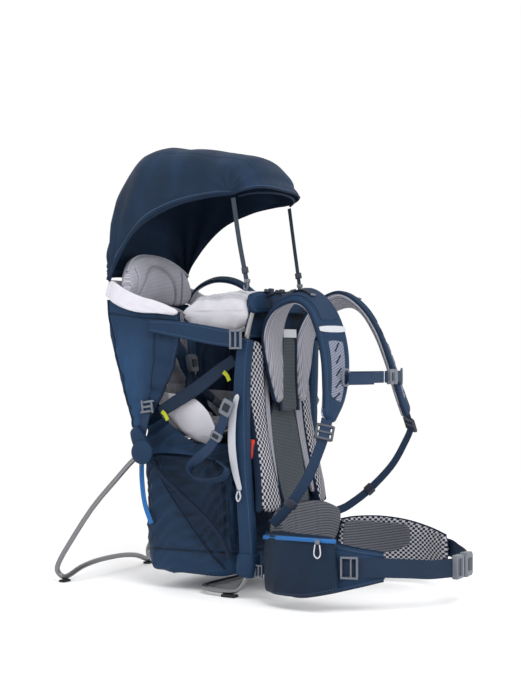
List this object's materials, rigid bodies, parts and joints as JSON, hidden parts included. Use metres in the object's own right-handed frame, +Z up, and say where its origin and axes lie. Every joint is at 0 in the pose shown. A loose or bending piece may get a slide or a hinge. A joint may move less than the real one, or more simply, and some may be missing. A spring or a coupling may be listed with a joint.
{
  "type": "baby carrier backpack",
  "caption": "Child carrier worn on the back: tube frame with folding kickstand, padded seat compartment, canopy, lower bag, shoulder harness and hip belt.",
  "frame": {"origin": "middle of the carrier's bounding box, on the ground it stands on", "axes": "+Z up; -Y the wearer's forward side; +X the wearer's left"},
  "size_m": [0.4676, 0.9137, 0.98],
  "materials": {
    "navy_fabric": "woven, matt",
    "dark_fabric": "woven, matt",
    "grey_mesh": "open knit mesh over foam",
    "pale_fleece": "brushed",
    "grey_aluminium": "anodised, satin",
    "grey_plastic": "fine matt texture",
    "black_plastic": "matt",
    "rubber": "matt"
  },
  "bodies": {
    "frame": {"main_frame_tube": "grey_aluminium", "frame_head": "dark_fabric", "front_sole_right": "rubber", "front_sole_left": "rubber", "upright_sleeve_right": "navy_fabric", "upright_sleeve_left": "navy_fabric", "grab_strip_right": "grey_plastic", "grab_strip_left": "grey_plastic", "side_stay_right": "grey_aluminium", "side_stay_left": "grey_aluminium", "hinge_hub_right": "navy_fabric", "hinge_hub_left": "navy_fabric", "side_wall_right": "navy_fabric", "side_wall_left": "navy_fabric", "rear_wall": "navy_fabric", "front_wall": "dark_fabric", "child_backrest": "grey_mesh", "chin_pad": "pale_fleece", "grab_handle": "navy_fabric", "side_strap_right": "navy_fabric", "side_strap_left": "navy_fabric", "child_harness": "dark_fabric", "lower_bag": "navy_fabric", "back_mesh": "grey_mesh", "back_pad_right": "grey_mesh", "back_pad_left": "grey_mesh", "lumbar_pad": "grey_mesh", "load_lifter_right": "dark_fabric", "load_lifter_left": "dark_fabric", "lower_webbing_right": "navy_fabric", "lower_webbing_left": "navy_fabric"},
    "kickstand": {"kickstand_tube": "grey_aluminium", "kickstand_shoe_right": "rubber", "kickstand_shoe_left": "rubber", "kickstand_eye_right": "grey_plastic", "kickstand_eye_left": "grey_plastic"},
    "canopy": {"canopy_cloth": "navy_fabric", "canopy_bow": "black_plastic"},
    "canopy_straps": {"canopy_strap_right": "navy_fabric", "canopy_strap_left": "navy_fabric"},
    "seat": {"seat_shell": "dark_fabric", "seat_cushion": "grey_mesh"},
    "headrest_slider": {"headrest": "grey_mesh"},
    "harness": {"harness_yoke": "grey_mesh", "shoulder_strap_right": "navy_fabric", "shoulder_strap_left": "navy_fabric", "triglide_right": "black_plastic", "triglide_left": "black_plastic", "chest_strap_right": "navy_fabric", "chest_strap_left": "navy_fabric"},
    "hip_side_right": {"hip_fin_right": "navy_fabric", "hip_webbing_right": "navy_fabric", "hip_buckle_tongue": "grey_plastic", "hip_pocket": "navy_fabric"},
    "hip_side_left": {"hip_fin_left": "navy_fabric", "hip_webbing_left": "navy_fabric", "hip_buckle_socket": "grey_plastic"},
    "pocket_zip": {"pocket_zip_puller": "grey_plastic"},
    "stirrup_right": {"foot_stirrup_right": "navy_fabric"},
    "stirrup_left": {"foot_stirrup_left": "navy_fabric"}
  },
  "joints": [
    {"name": "kickstand_fold", "type": "hinge", "parent": "frame", "child": "kickstand", "pos_m": [0.0117, 0.2111, 0.3], "axis": [-1, 0, 0], "range_deg": [0, 32]},
    {"name": "canopy_tilt", "type": "hinge", "parent": "frame", "child": "canopy", "pos_m": [0.0117, 0.3251, 0.675], "axis": [-1, 0, 0], "range_deg": [0, 50]},
    {"name": "canopy_strap_hang", "type": "hinge", "parent": "canopy", "child": "canopy_straps", "pos_m": [0.0117, 0.0221, 0.853], "axis": [-1, 0, 0], "range_deg": [-50, 0]},
    {"name": "harness_height", "type": "slide", "parent": "frame", "child": "harness", "axis": [0, 0, 1], "range_m": [-0.05, 0], "deforming": ["load_lifter_right", "load_lifter_left", "lower_webbing_right", "lower_webbing_left"]},
    {"name": "seat_height", "type": "slide", "parent": "frame", "child": "seat", "axis": [0, 0, 1], "range_m": [0, 0.04]},
    {"name": "headrest_height", "type": "slide", "parent": "frame", "child": "headrest_slider", "axis": [0, 0, 1], "range_m": [0, 0.03]},
    {"name": "hip_right_swing", "type": "hinge", "parent": "frame", "child": "hip_side_right", "pos_m": [-0.1243, -0.0969, 0.088], "axis": [0, 0, -1], "range_deg": [0, 35]},
    {"name": "hip_left_swing", "type": "hinge", "parent": "frame", "child": "hip_side_left", "pos_m": [0.1477, -0.0969, 0.088], "axis": [0, 0, 1], "range_deg": [0, 35]},
    {"name": "pocket_zip_slide", "type": "slide", "parent": "hip_side_right", "child": "pocket_zip", "axis": [0, 1, 0], "range_m": [0, 0.09]},
    {"name": "stirrup_right_swing", "type": "hinge", "parent": "frame", "child": "stirrup_right", "pos_m": [-0.1758, -0.0089, 0.418], "axis": [1, 0, 0], "range_deg": [-15, 20]},
    {"name": "stirrup_left_swing", "type": "hinge", "parent": "frame", "child": "stirrup_left", "pos_m": [0.1992, -0.0089, 0.418], "axis": [1, 0, 0], "range_deg": [-15, 20]}
  ],
  "couplings": [
    {"joint": "canopy_strap_hang", "follows": "canopy_tilt", "ratio": -1},
    {"joint": "hip_left_swing", "follows": "hip_right_swing", "ratio": 1}
  ]
}
